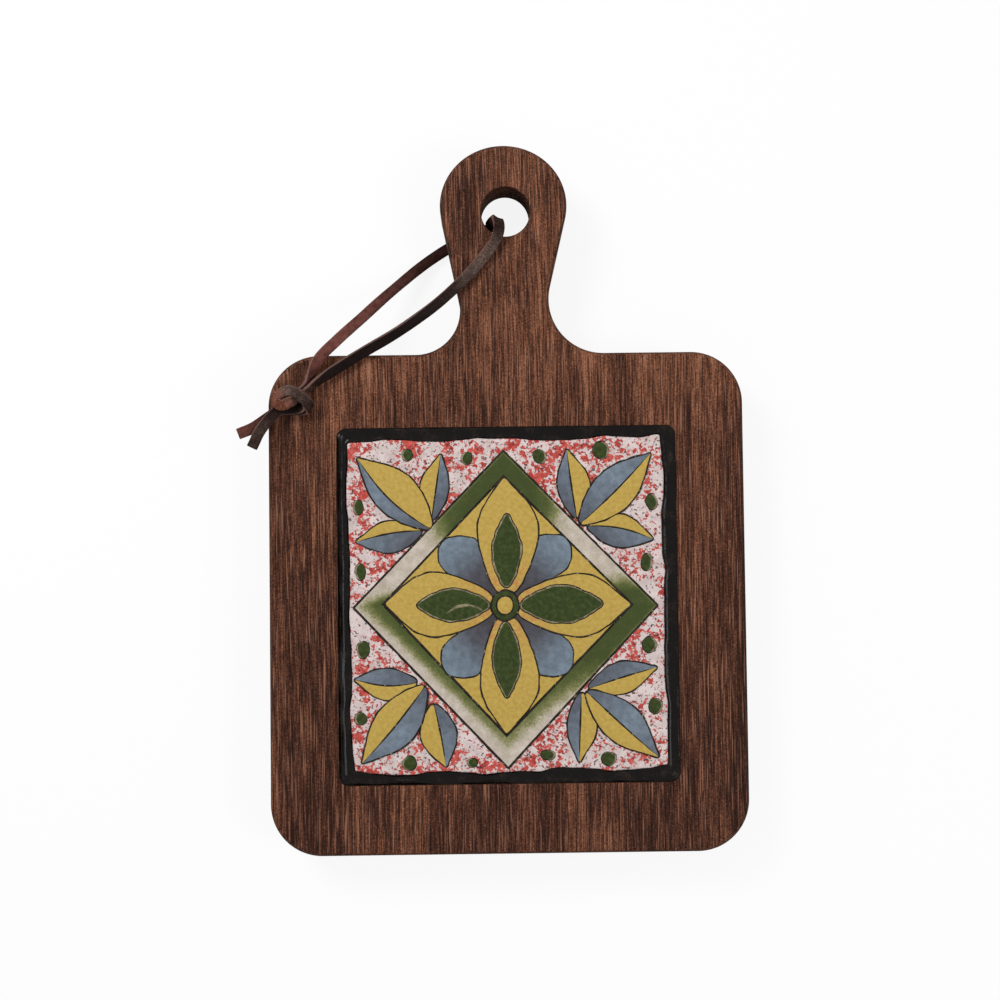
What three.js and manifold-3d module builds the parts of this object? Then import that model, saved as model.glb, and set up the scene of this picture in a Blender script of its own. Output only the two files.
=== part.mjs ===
// A paddle-shaped wooden coaster: a glazed tile set in a routed recess, and a leather lace
// looped through the handle and tied in a knot that lies on the board's upper left corner.
// Millimetres. X runs across the board, Y from its lower edge towards the handle, Z up.
// The origin is on the table, below the middle of the board's length and width.

import * as THREE from 'three';
import { mergeVertices } from 'three/addons/utils/BufferGeometryUtils.js';
import Module from 'manifold-3d';

const wasm = await Module();
wasm.setup();

// Driving dimensions
const tileWidth = 98;
const tileLength = 103.1;
const tileThickness = 7;
const tileCornerRadius = 1.6;
const tileEdgeRound = 0.6;
const tileEdgeWave = 0.4;
const tileWavesPerSide = 3;

const glazeRelief = 0.4;
const glazeChamfer = 0.2;
const lineWidth = 0.9;
const diamondMargin = 2.2;
const diamondBand = 5.9;
const petalWidth = 19;
const innerPetalWidth = 9.4;
const innerPetalBaseMargin = 3.4;
const innerPetalTipMargin = 6;
const lobeWidth = 11.6;
const lobeLength = 21.6;
const hubRadius = 5;
const hubDotRadius = 2.8;
const leafLength = 27;
const leafWidth = 9;
const sideLeafLength = 19;
const sideLeafWidth = 6.6;
const dotRadius = 1.9;
const dotMargin = 2.4;
const dotDistances = [12.8, 34.4];
const sprayGap = 3.6;

const jointWidth = 3.7;
const jointDrop = 1.2;
const bedThickness = 1.2;
const seatClearance = 0.3;

const boardThickness = 15;
const recessDepth = 8.5;
const recessCornerRadius = 3;
const sideBorder = 21.3;
const bottomBorder = 21.6;
const topBorder = 23;
const bodyCornerRadius = 16;
const edgeRound = 1.5;

const handleLength = 65.7;
const headWidth = 39.8;
const headRise = 18.95;
const neckWidth = 27.8;
const leftNeckFillet = 14;
const rightNeckFillet = 17;
const holeDiameter = 14.8;
const holeFromTop = 20.8;
const holeOffset = 0.9;

const footDiameter = 10;
const footHeight = 2.5;
const footEdgeRound = 0.8;
const footInset = 16;

const laceWidth = 3.4;
const laceThickness = 1.4;
const laceCorner = 0.35;
const laceStepsPerPoint = 3;
const knotSqueeze = 0.73;
const knotLayerSpacing = 1.82;

// Facets
const curveSegments = 10;
const holeSegments = 32;
const dotSegments = 16;
const roundSegments = 3;
const waveSteps = 24;

// Sizes that follow from the driving dimensions
const recessWidth = tileWidth + 2 * jointWidth;
const recessLength = tileLength + 2 * jointWidth;
const bodyWidth = recessWidth + 2 * sideBorder;
const bodyLength = recessLength + bottomBorder + topBorder;
const boardLength = bodyLength + handleLength;

const bottomEdge = -boardLength / 2;
const shoulder = bottomEdge + bodyLength;
const handleTop = boardLength / 2;
const headCentre = handleTop - headRise;
const holeCentre = new THREE.Vector2(holeOffset, handleTop - holeFromTop);
const recessCentre = bottomEdge + bottomBorder + recessLength / 2;

const boardFace = footHeight + boardThickness;
const recessFloor = boardFace - recessDepth;
const bedFloor = recessFloor + bedThickness;
const glazeBase = bedFloor + tileThickness;

// Booleans on closed meshes
function toSolid(geometry) {
  const bare = geometry.clone();
  for (const name of Object.keys(bare.attributes)) {
    if (name !== 'position') bare.deleteAttribute(name);
  }
  const merged = mergeVertices(bare, 1e-4);
  return new wasm.Manifold(new wasm.Mesh({
    numProp: 3,
    vertProperties: new Float32Array(merged.attributes.position.array),
    triVerts: new Uint32Array(merged.index.array),
  }));
}

function toGeometry(solid) {
  const mesh = solid.getMesh();
  const geometry = new THREE.BufferGeometry();
  geometry.setAttribute('position', new THREE.BufferAttribute(mesh.vertProperties, 3));
  geometry.setIndex(new THREE.BufferAttribute(mesh.triVerts, 1));
  geometry.computeVertexNormals();
  return geometry;
}

// A plate from z = bottom to bottom + height, with its edges rounded inside the outline
function plate(shape, bottom, height, round) {
  const geometry = new THREE.ExtrudeGeometry(shape, {
    depth: height - 2 * round,
    bevelEnabled: round > 0,
    bevelThickness: round,
    bevelSize: round,
    bevelOffset: -round,
    bevelSegments: roundSegments,
    curveSegments,
  });
  return geometry.translate(0, 0, bottom + round);
}

function roundedRectangle(width, length, radius, centreY) {
  const x = width / 2 - radius;
  const y = length / 2 - radius;
  const quarter = Math.PI / 2;
  const shape = new THREE.Shape();
  shape.absarc(x, centreY - y, radius, -quarter, 0);
  shape.absarc(x, centreY + y, radius, 0, quarter);
  shape.absarc(-x, centreY + y, radius, quarter, 2 * quarter);
  shape.absarc(-x, centreY - y, radius, 2 * quarter, 3 * quarter);
  shape.closePath();
  return shape;
}

// Angle at which the straight side of the handle touches the head: the side is the inner
// common tangent of the head's circle and the fillet's circle
function handleSideAngle(fillet) {
  const across = neckWidth / 2 + fillet;
  const down = shoulder + fillet - headCentre;
  const reach = Math.hypot(across, down);
  return Math.atan2(down, across) + Math.acos((headWidth / 2 + fillet) / reach);
}

function boardOutline() {
  const half = bodyWidth / 2 - bodyCornerRadius;
  const low = bottomEdge + bodyCornerRadius;
  const high = shoulder - bodyCornerRadius;
  const head = headWidth / 2;
  const quarter = Math.PI / 2;
  const rightSide = handleSideAngle(rightNeckFillet);
  const leftSide = handleSideAngle(leftNeckFillet);
  const rightFillet = neckWidth / 2 + rightNeckFillet;
  const leftFillet = -neckWidth / 2 - leftNeckFillet;
  const shape = new THREE.Shape();
  shape.absarc(half, low, bodyCornerRadius, -quarter, 0);
  shape.absarc(half, high, bodyCornerRadius, 0, quarter);
  shape.absarc(rightFillet, shoulder + rightNeckFillet, rightNeckFillet,
    -quarter, Math.PI + rightSide, true);
  shape.absarc(0, headCentre, head, rightSide, 0);
  shape.absellipse(0, headCentre, head, headRise, 0, Math.PI);
  shape.absarc(0, headCentre, head, Math.PI, Math.PI - leftSide);
  shape.absarc(leftFillet, shoulder + leftNeckFillet, leftNeckFillet,
    -leftSide, -quarter, true);
  shape.absarc(-half, high, bodyCornerRadius, quarter, 2 * quarter);
  shape.absarc(-half, low, bodyCornerRadius, 2 * quarter, 3 * quarter);
  shape.closePath();
  return shape;
}

// The hanging hole is a polygon of its own, so that it gets more facets than the corners
function circlePath(centre, radius, segments) {
  const points = [];
  for (let step = 0; step < segments; step += 1) {
    const angle = (2 * Math.PI * step) / segments;
    points.push(new THREE.Vector2(
      centre.x + radius * Math.cos(angle),
      centre.y + radius * Math.sin(angle),
    ));
  }
  return new THREE.Path(points);
}

function boardGeometry() {
  const outline = boardOutline();
  outline.holes.push(circlePath(holeCentre, holeDiameter / 2, holeSegments));
  const blank = toSolid(plate(outline, footHeight, boardThickness, edgeRound));
  const pocket = roundedRectangle(recessWidth, recessLength, recessCornerRadius, recessCentre);
  const cutter = toSolid(plate(pocket, recessFloor, recessDepth + edgeRound, 0));
  return toGeometry(blank.subtract(cutter));
}

// The tile's hand-cut edge: a rounded rectangle whose sides wave in and out, grown by a margin
function tileOutline(margin) {
  const halfWidth = tileWidth / 2 + margin;
  const halfLength = tileLength / 2 + margin;
  const corner = tileCornerRadius;
  const points = [];
  const sides = [
    { from: [halfWidth, -halfLength], along: [0, 1], length: 2 * halfLength, out: [1, 0] },
    { from: [halfWidth, halfLength], along: [-1, 0], length: 2 * halfWidth, out: [0, 1] },
    { from: [-halfWidth, halfLength], along: [0, -1], length: 2 * halfLength, out: [-1, 0] },
    { from: [-halfWidth, -halfLength], along: [1, 0], length: 2 * halfWidth, out: [0, -1] },
  ];
  sides.forEach((side, index) => {
    for (let step = 0; step <= waveSteps; step += 1) {
      const share = step / waveSteps;
      const along = corner + share * (side.length - 2 * corner);
      const phase = 2 * Math.PI * tileWavesPerSide * share + index;
      const fade = Math.sin(Math.PI * share);
      const out = -tileEdgeWave * fade * (0.5 + 0.5 * Math.sin(phase));
      points.push(new THREE.Vector2(
        side.from[0] + side.along[0] * along + side.out[0] * out,
        recessCentre + side.from[1] + side.along[1] * along + side.out[1] * out,
      ));
    }
  });
  return new THREE.Shape(points);
}

// Black adhesive: a skin under the tile that rises round it and fills the joint
function adhesiveGeometry() {
  const outer = roundedRectangle(
    recessWidth - 2 * seatClearance,
    recessLength - 2 * seatClearance,
    recessCornerRadius - seatClearance,
    recessCentre,
  );
  const top = boardFace - jointDrop;
  const block = toSolid(plate(outer, recessFloor, top - recessFloor, 0));
  const pocket = toSolid(plate(tileOutline(seatClearance), bedFloor, tileThickness, 0));
  return toGeometry(block.subtract(pocket));
}

// A pointed oval from one tip to the other, whose sides bow out by half the width.
// With side +1 or -1 it is only the half on that side of its axis.
function pointedOval(from, to, width, side = 0) {
  const axis = to.clone().sub(from);
  const across = new THREE.Vector2(-axis.y, axis.x).normalize();
  const place = (share, sign) => from.clone()
    .addScaledVector(axis, share)
    .addScaledVector(across, sign * 2 * width * share * (1 - share));
  const points = [];
  for (let step = 0; step <= curveSegments; step += 1) {
    points.push(place(step / curveSegments, side || -1));
  }
  for (let step = curveSegments - 1; step > 0 && side === 0; step -= 1) {
    points.push(place(step / curveSegments, 1));
  }
  return points;
}

// A lobe that starts in a point and ends in a half circle
function roundEndedLobe(from, toward, length, width) {
  const turn = Math.atan2(toward.y, toward.x);
  const centre = from.clone().addScaledVector(toward, length - width / 2);
  const shape = new THREE.Shape();
  shape.moveTo(from.x, from.y);
  shape.absarc(centre.x, centre.y, width / 2, turn - Math.PI / 2, turn + Math.PI / 2);
  shape.closePath();
  return shape;
}

function disc(centre, radius) {
  return new THREE.Shape(circlePath(centre, radius, dotSegments).getPoints());
}

function onTile(x, y) {
  return new THREE.Vector2(x, recessCentre + y);
}

const diamondX = tileWidth / 2 - diamondMargin;
const diamondY = tileLength / 2 - diamondMargin;

// The share of the diamond's size that is left when its sides move in by a distance
function diamondShare(distance) {
  return 1 - (distance * Math.hypot(diamondX, diamondY)) / (diamondX * diamondY);
}

function bandField() {
  const corners = (share) => [
    onTile(share * diamondX, 0),
    onTile(0, share * diamondY),
    onTile(-share * diamondX, 0),
    onTile(0, -share * diamondY),
  ];
  const band = new THREE.Shape(corners(1));
  band.holes.push(new THREE.Path(corners(diamondShare(diamondBand))));
  return band;
}

function hubFields() {
  const middle = onTile(0, 0);
  const ring = disc(middle, hubRadius);
  ring.holes.push(circlePath(middle, hubDotRadius + lineWidth, dotSegments));
  return [ring, disc(middle, hubDotRadius)];
}

// A big petal along x or y, and the smaller one inside it
function petalFields(dx, dy) {
  const near = hubRadius + lineWidth;
  const corner = dx === 0 ? diamondY : diamondX;
  const tip = corner * diamondShare(diamondBand + lineWidth) - 2 * lineWidth;
  const oval = (from, to, width) => pointedOval(
    onTile(dx * from, dy * from), onTile(dx * to, dy * to), width,
  );
  const start = near + innerPetalBaseMargin;
  const end = tip - innerPetalTipMargin;
  const tipLine = 2 * lineWidth;
  const petal = new THREE.Shape(oval(near, tip, petalWidth));
  const cut = oval(start - tipLine, end + tipLine, innerPetalWidth + 2 * lineWidth);
  petal.holes.push(new THREE.Path(cut));
  return [petal, new THREE.Shape(oval(start, end, innerPetalWidth))];
}

// A leaf parted down the middle, as two fields
function leafFields(base, toward, length, width) {
  const tip = base.clone().addScaledVector(toward, length);
  const across = new THREE.Vector2(-toward.y, toward.x);
  return [1, -1].map((side) => {
    const shift = across.clone().multiplyScalar((side * lineWidth) / 2);
    const half = pointedOval(base, tip, width, side);
    return new THREE.Shape(half.map((point) => point.add(shift)));
  });
}

// What one corner of the tile holds: a lobe of the flower, three leaves and four dots
function cornerFields(sx, sy) {
  const diagonal = new THREE.Vector2(sx, sy).normalize();
  const lobeStart = onTile(0, 0).addScaledVector(diagonal, hubRadius + lineWidth);
  const stem = onTile(sx * (diamondX / 2 + sprayGap), sy * (diamondY / 2 + sprayGap));
  const fields = [
    roundEndedLobe(lobeStart, diagonal, lobeLength, lobeWidth),
    ...leafFields(stem, diagonal, leafLength, leafWidth),
  ];
  for (const toward of [new THREE.Vector2(0, sy), new THREE.Vector2(sx, 0)]) {
    const aside = toward.clone().sub(diagonal).multiplyScalar(sideLeafWidth);
    const base = stem.clone().add(aside).addScaledVector(diagonal, lineWidth);
    fields.push(...leafFields(base, toward, sideLeafLength, sideLeafWidth));
  }
  const edgeX = tileWidth / 2 - dotMargin - dotRadius;
  const edgeY = tileLength / 2 - dotMargin - dotRadius;
  for (const distance of dotDistances) {
    fields.push(disc(onTile(sx * edgeX, sy * distance), dotRadius));
    fields.push(disc(onTile(sx * distance, sy * edgeY), dotRadius));
  }
  return fields;
}

// The painted pattern: a four-petalled flower in a diamond, a spray of three split leaves in
// each corner, and dots along the edges. Every field is a low pad of glaze with a line round it.
function glazeFields() {
  const fields = [bandField(), ...hubFields()];
  for (const [dx, dy] of [[1, 0], [0, 1], [-1, 0], [0, -1]]) {
    fields.push(...petalFields(dx, dy));
  }
  for (const [sx, sy] of [[1, 1], [-1, 1], [-1, -1], [1, -1]]) {
    fields.push(...cornerFields(sx, sy));
  }
  return fields;
}

function tileGeometry() {
  const sunk = tileEdgeRound;
  let solid = toSolid(plate(tileOutline(0), bedFloor, tileThickness, tileEdgeRound));
  for (const field of glazeFields()) {
    const pad = new THREE.ExtrudeGeometry(field, {
      depth: sunk + glazeRelief - glazeChamfer,
      bevelEnabled: true,
      bevelThickness: glazeChamfer,
      bevelSize: glazeChamfer,
      bevelOffset: -glazeChamfer,
      bevelSegments: 1,
      curveSegments,
    });
    solid = solid.add(toSolid(pad.translate(0, 0, glazeBase - sunk)));
  }
  return toGeometry(solid);
}

// A rubber bumper: a low disc with a rounded lower edge
function footGeometry() {
  const radius = footDiameter / 2;
  const profile = [new THREE.Vector2(0, 0)];
  for (let step = 0; step <= roundSegments; step += 1) {
    const angle = (Math.PI / 2) * (step / roundSegments);
    profile.push(new THREE.Vector2(
      radius - footEdgeRound + footEdgeRound * Math.sin(angle),
      footEdgeRound - footEdgeRound * Math.cos(angle),
    ));
  }
  profile.push(new THREE.Vector2(radius, footHeight), new THREE.Vector2(0, footHeight));
  return new THREE.LatheGeometry(profile, dotSegments).rotateX(Math.PI / 2);
}

// The lace's route. Each stop has a place, the way that the smooth grain side faces there,
// and how much of its full section the lace keeps.
function stop(x, y, z, facing, section = 1) {
  return {
    place: new THREE.Vector3(x, y, z),
    facing: new THREE.Vector3(...facing).normalize(),
    section,
  };
}

// Along the front of the handle, from the knot up to the hole: x, y, height over the face
const frontStrand = [
  [-54.6, 38.7, 2.3, [0.35, -0.45, 0.8]],
  [-44.5, 44.9, 2.1, [0.3, -0.4, 0.85]],
  [-32.5, 51.8, 2.7, [0.38, -0.45, 0.8]],
  [-21.6, 59.6, 2.1, [0.3, -0.3, 0.9]],
  [-12.6, 67.8, 1.5, [0.2, -0.15, 0.95]],
  [-6.2, 74.9, 1.7, [0.3, -0.15, 0.93]],
  [-2.4, 80.2, 2.3, [0.3, -0.1, 0.95]],
];

// Down through the hole: distance from its centre, direction in degrees, share of the face's
// height, and how far the grain faces outwards and up
const throughHole = [
  [6.6, 250, 1.18, -0.1, 0.95],
  [4.7, 237, 1.18, -0.5, 0.85],
  [4.5, 221, 1.03, -1, 0.1],
  [5.2, 211, 0.72, -0.9, -0.35],
  [5.7, 206, 0.4, -1, -0.2],
  [6.3, 204, 0.13, -0.6, -0.8],
];

// Behind the handle and up to the corner of the board: x, y, share of the face's height
const backStrand = [
  [-9.5, 85.3, 0.0714, [0.1, 0.05, -1]],
  [-17.5, 81.2, 0.0714, [0, 0, -1]],
  [-24.5, 76.5, 0.13, [0.1, -0.1, -1]],
  [-34.9, 67, 0.434, [0.2, -0.3, -0.9]],
  [-44.5, 57.2, 0.777, [0, -0.1, -1]],
  [-52, 49.4, 1.063, [-0.05, 0.1, -1]],
  [-58, 42.9, 1.163, [-0.25, 0.35, -0.9]],
];

// The two cut ends: x, y, height over the face
const frontTail = [
  [-82.8, 20.2, 2.2, [0, 0, -1]],
  [-78.3, 22, 2.7, [0, -0.1, -1]],
];
const backTail = [
  [-75.3, 21.4, 5.4, [0.1, -0.1, 1]],
  [-78.5, 16.1, 2.8, [0, 0, 1]],
];

// The overhand knot, tied with both strands together, about its own middle: along the strands
// towards the tails, across, up, and the way from the back strand to the front strand
const knotMiddle = new THREE.Vector2(-67.3, 30.55);
const knotAlong = new THREE.Vector3(-0.8, -0.6, 0);
const knotLoop = [
  [-7.8, 0, -1.2, [0, 1, 0]],
  [-4.1, 0.2, -2.2, [0, 1, 0]],
  [-1.4, 0.4, -0.1, [0, 1, -0.1]],
  [1.2, 0.8, 2, [0, 1, 0]],
  [4.4, 1.9, 0.6, [-0.2, 1, 0]],
  [7, -1.2, -2.2, [1, 0.2, 0]],
  [4.8, -5.6, -2.2, [0.3, -1, 0]],
  [0.6, -6, 0.2, [0, -1, 0]],
  [-3.5, -3.8, 2.1, [-0.7, -0.5, 0.4]],
  [-4.7, 0.2, 2.3, [-0.5, 0, 0.85]],
  [-4.1, 4.2, 0.9, [-0.8, 0.4, 0.3]],
  [-1.4, 5.8, -1.1, [0, 0.8, -0.6]],
  [0.9, 3.8, -2.4, [0.1, 0.4, -0.9]],
  [1.4, 0.2, -2.5, [0, 0, -1]],
  [2.9, -2, -0.7, [0.5, -0.2, -0.85]],
  [5.6, -2.2, 2, [0, -0.4, -0.9]],
];

// One strand of the knot: the front one lies on one side of the knot's middle line, side +1,
// and the back one on the other
function knotStrand(side) {
  const up = new THREE.Vector3(0, 0, 1);
  const across = up.clone().cross(knotAlong);
  const lowest = Math.min(...knotLoop.map((point) => point[2]));
  const rest = seatClearance + (knotLayerSpacing + laceThickness * knotSqueeze) / 2 - lowest;
  const middle = new THREE.Vector3(knotMiddle.x, knotMiddle.y, boardFace + rest);
  const turned = (x, y, z) => new THREE.Vector3()
    .addScaledVector(knotAlong, x).addScaledVector(across, y).addScaledVector(up, z);
  const line = knotLoop.map(([x, y, z]) => turned(x, y, z));
  return knotLoop.map((point, index) => {
    const before = line[Math.max(index - 1, 0)];
    const after = line[Math.min(index + 1, line.length - 1)];
    const forward = after.clone().sub(before).normalize();
    const facing = turned(...point[3]);
    facing.addScaledVector(forward, -facing.dot(forward)).normalize().multiplyScalar(side);
    const place = middle.clone().add(line[index]).addScaledVector(facing, knotLayerSpacing / 2);
    return { place, facing, section: knotSqueeze };
  });
}

function laceStops() {
  const overFace = ([x, y, height, facing]) => stop(x, y, boardFace + height, facing);
  const byShare = ([x, y, share, facing]) => stop(x, y, share * boardFace, facing);
  const inHole = throughHole.map(([radius, degrees, share, outward, upward]) => {
    const angle = THREE.MathUtils.degToRad(degrees);
    const away = new THREE.Vector2(Math.cos(angle), Math.sin(angle));
    const spot = holeCentre.clone().addScaledVector(away, radius);
    const facing = [away.x * outward, away.y * outward, upward];
    return stop(spot.x, spot.y, share * boardFace, facing);
  });
  return [
    ...frontTail.map(overFace),
    ...knotStrand(1).reverse(),
    ...frontStrand.map(overFace),
    ...inHole,
    ...backStrand.map(byShare),
    ...knotStrand(-1),
    ...backTail.map(overFace),
  ];
}

// Rings of a flat section with broken corners, at even steps from stop to stop
function laceRings() {
  const stops = laceStops();
  const curve = new THREE.CatmullRomCurve3(stops.map((each) => each.place));
  const count = (stops.length - 1) * laceStepsPerPoint;
  const rings = [];
  for (let step = 0; step <= count; step += 1) {
    const spot = Math.min(Math.floor(step / laceStepsPerPoint), stops.length - 2);
    const share = step / laceStepsPerPoint - spot;
    const centre = curve.getPoint(step / count);
    const forward = curve.getTangent(step / count);
    const facing = stops[spot].facing.clone().lerp(stops[spot + 1].facing, share);
    facing.addScaledVector(forward, -facing.dot(forward)).normalize();
    const across = forward.clone().cross(facing);
    const section = THREE.MathUtils.lerp(stops[spot].section, stops[spot + 1].section, share);
    rings.push({ centre, forward, facing, across, section });
  }
  return rings;
}

function sectionPoints(ring) {
  const wide = (laceWidth / 2) * ring.section;
  const thick = (laceThickness / 2) * ring.section;
  const cut = laceCorner * ring.section;
  const corners = [
    [wide, thick - cut], [wide - cut, thick], [cut - wide, thick], [-wide, thick - cut],
    [-wide, cut - thick], [cut - wide, -thick], [wide - cut, -thick], [wide, cut - thick],
  ];
  return corners.map(([x, y]) => ring.centre.clone()
    .addScaledVector(ring.across, x).addScaledVector(ring.facing, y));
}

// Least gap between stretches of the lace that are not neighbours along its length
function leastLaceGap(rings) {
  const apart = 1.5 * laceWidth;
  const slice = laceWidth / 4;
  const run = [0];
  for (let index = 1; index < rings.length; index += 1) {
    run.push(run[index - 1] + rings[index].centre.distanceTo(rings[index - 1].centre));
  }
  const outlines = rings.map(sectionPoints);
  let least = Infinity;
  rings.forEach((ring, index) => {
    const wide = (laceWidth / 2) * ring.section;
    const thick = (laceThickness / 2) * ring.section;
    outlines.forEach((outline, other) => {
      if (Math.abs(run[other] - run[index]) < apart) return;
      for (const point of outline) {
        const offset = point.clone().sub(ring.centre);
        if (Math.abs(offset.dot(ring.forward)) > slice) continue;
        const x = Math.abs(offset.dot(ring.across)) - wide;
        const y = Math.abs(offset.dot(ring.facing)) - thick;
        const gap = Math.max(x, y) < 0 ? Math.max(x, y) : Math.hypot(Math.max(x, 0), Math.max(y, 0));
        least = Math.min(least, gap);
      }
    });
  });
  return { least, length: run[run.length - 1] };
}

function laceGeometry() {
  const rings = laceRings();
  const { least, length } = leastLaceGap(rings);
  console.log(`lace length ${length.toFixed(1)} mm, least gap to itself ${least.toFixed(2)} mm`);
  const sides = 8;
  const positions = rings.flatMap((ring) => sectionPoints(ring).flatMap((point) => point.toArray()));
  const faces = [];
  for (let ring = 0; ring < rings.length - 1; ring += 1) {
    for (let side = 0; side < sides; side += 1) {
      const next = (side + 1) % sides;
      const a = ring * sides + side;
      const b = ring * sides + next;
      faces.push(a, a + sides, b, b, a + sides, b + sides);
    }
  }
  const last = (rings.length - 1) * sides;
  for (let side = 1; side < sides - 1; side += 1) {
    faces.push(0, side, side + 1);
    faces.push(last, last + side + 1, last + side);
  }
  const geometry = new THREE.BufferGeometry();
  geometry.setAttribute('position', new THREE.Float32BufferAttribute(positions, 3));
  geometry.setIndex(faces);
  geometry.computeVertexNormals();
  return geometry;
}

// Materials
const wood = new THREE.MeshStandardMaterial({ color: 0x58392c, roughness: 0.55, metalness: 0 });
const adhesive = new THREE.MeshStandardMaterial({ color: 0x1e1814, roughness: 0.3, metalness: 0 });
const glaze = new THREE.MeshStandardMaterial({ color: 0xcdb79c, roughness: 0.25, metalness: 0 });
const rubber = new THREE.MeshStandardMaterial({ color: 0x2a2826, roughness: 0.9, metalness: 0 });
const leather = new THREE.MeshStandardMaterial({ color: 0x4a2f29, roughness: 0.7, metalness: 0 });

function named(name, geometry, material) {
  const mesh = new THREE.Mesh(geometry, material);
  mesh.name = name;
  return mesh;
}

const coaster = new THREE.Group();
coaster.add(named('board', boardGeometry(), wood));
coaster.add(named('adhesive_bed', adhesiveGeometry(), adhesive));
coaster.add(named('tile', tileGeometry(), glaze));

const footX = bodyWidth / 2 - footInset;
const feet = {
  foot_lower_left: [-footX, bottomEdge + footInset],
  foot_lower_right: [footX, bottomEdge + footInset],
  foot_upper_left: [-footX, shoulder - footInset],
  foot_upper_right: [footX, shoulder - footInset],
};
for (const [name, [x, y]] of Object.entries(feet)) {
  const foot = named(name, footGeometry(), rubber);
  foot.position.set(x, y, 0);
  coaster.add(foot);
}

coaster.add(named('leather_lace', laceGeometry(), leather));

export default coaster;
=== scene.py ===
# A paddle-shaped wooden coaster with a painted tile set in its face and a knotted leather lace.
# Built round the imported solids. Sizes are in millimetres and become metres in the meshes.

from math import acos, atan2, ceil, cos, hypot, pi, radians, sin

import bmesh
import bpy
import numpy as np
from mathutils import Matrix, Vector, noise


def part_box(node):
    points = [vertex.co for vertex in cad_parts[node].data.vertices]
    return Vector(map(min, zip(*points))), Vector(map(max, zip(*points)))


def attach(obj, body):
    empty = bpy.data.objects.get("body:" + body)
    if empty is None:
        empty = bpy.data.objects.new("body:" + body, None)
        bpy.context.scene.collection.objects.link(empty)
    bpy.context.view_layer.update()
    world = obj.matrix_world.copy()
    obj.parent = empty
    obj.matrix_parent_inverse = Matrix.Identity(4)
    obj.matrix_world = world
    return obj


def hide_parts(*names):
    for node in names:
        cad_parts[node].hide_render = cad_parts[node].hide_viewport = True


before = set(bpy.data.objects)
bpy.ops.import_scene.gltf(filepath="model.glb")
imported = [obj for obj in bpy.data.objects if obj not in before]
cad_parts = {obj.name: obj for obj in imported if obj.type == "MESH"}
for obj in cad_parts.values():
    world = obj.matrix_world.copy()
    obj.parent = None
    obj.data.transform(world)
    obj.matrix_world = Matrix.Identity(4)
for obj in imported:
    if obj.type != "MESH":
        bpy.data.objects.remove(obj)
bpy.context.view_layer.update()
scene = bpy.context.scene
scene.view_settings.view_transform = "Standard"
MM = 0.001


# Camera
# It stands almost straight above the board, a little towards the lower edge, so that the far wall
# of the hanging hole shows.
camera_place = (-5.78, -18.6, 483.41)
camera_turn = (2.16, -0.427, -0.685)

camera_data = bpy.data.cameras.new("camera")
camera_data.lens = 54
camera_data.sensor_width = 36
camera = bpy.data.objects.new("camera", camera_data)
camera.location = Vector(camera_place) * MM
camera.rotation_euler = [radians(angle) for angle in camera_turn]
scene.collection.objects.link(camera)
scene.camera = camera


# Board
# One plank of dark, oiled hardwood, sawn to a paddle, with its grain along the handle. Its edges
# are rounded over, the hanging hole is drilled and the square recess for the tile is routed.
board_low, board_high = (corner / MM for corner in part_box("board"))
board_face = board_high.z
board_underside = board_low.z
body_width = board_high.x - board_low.x
body_corner = 16
edge_round = 1.5
shoulder = 44.7
neck_width = 27.8
left_fillet = 14
right_fillet = 17
head_width = 39.8
head_rise = 18.95
head_centre = board_high.y - head_rise
hole_centre = Vector((0.9, board_high.y - 20.8))
# the bore wandered a little down and to the left, and is not quite round
bore_centre = hole_centre + Vector((-0.25, -0.3))
bore_wide, bore_tall = 7.65, 7.8
bore_ease = 0.6
recess_width = 105.4
recess_length = 110.5
recess_depth = 8.5
recess_margin = 21.6
recess_corner = 3
recess_ease = 0.35
recess_centre = board_low.y + recess_margin + recess_length / 2
recess_floor = board_face - recess_depth
outline_step = 0.8
round_steps = 7
flat_strip = 0.3


def arc(centre, wide, tall, start, end):
    """Points along part of an ellipse, from one angle to another in degrees."""
    count = max(3, ceil(abs(radians(end - start)) * max(wide, tall) / outline_step))
    angles = [radians(start + (end - start) * step / count) for step in range(count + 1)]
    return [Vector((centre[0] + wide * cos(a), centre[1] + tall * sin(a))) for a in angles]


def handle_side(fillet):
    """Angle in degrees at which the handle's straight side touches the round head."""
    across = neck_width / 2 + fillet
    down = shoulder + fillet - head_centre
    return (atan2(down, across) + acos((head_width / 2 + fillet) / hypot(across, down))) * 180 / pi


def board_outline():
    """The paddle from its lower right corner round. The head's sides end a degree below its upper half."""
    half = body_width / 2 - body_corner
    low = board_low.y + body_corner
    high = shoulder - body_corner
    head = head_width / 2
    right = handle_side(right_fillet)
    left = handle_side(left_fillet)
    right_middle = (neck_width / 2 + right_fillet, shoulder + right_fillet)
    left_middle = (-neck_width / 2 - left_fillet, shoulder + left_fillet)
    points = arc((half, low), body_corner, body_corner, -90, 0)
    points += arc((half, high), body_corner, body_corner, 0, 90)
    points += arc(right_middle, right_fillet, right_fillet, 270, 180 + right)
    points += arc((0, head_centre), head, head, right, -1)
    points += arc((0, head_centre), head, head_rise, 0, 180)
    points += arc((0, head_centre), head, head, 181, 180 - left)
    points += arc(left_middle, left_fillet, left_fillet, -left, -90)
    points += arc((-half, high), body_corner, body_corner, 90, 180)
    points += arc((-half, low), body_corner, body_corner, 180, 270)
    return points


def rounded_rectangle(width, length, corner, centre_y):
    x = width / 2 - corner
    y = length / 2 - corner
    points = []
    for middle_x, middle_y, start in ((x, -y, -90), (x, y, 0), (-x, y, 90), (-x, -y, 180)):
        points += arc((middle_x, centre_y + middle_y), corner, corner, start, start + 90)
    return points


def inward(points, index):
    """The way into a closed outline at one of its points, square to the line through its neighbours."""
    along = points[(index + 1) % len(points)] - points[index - 1]
    return Vector((-along.y, along.x)).normalized()


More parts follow.
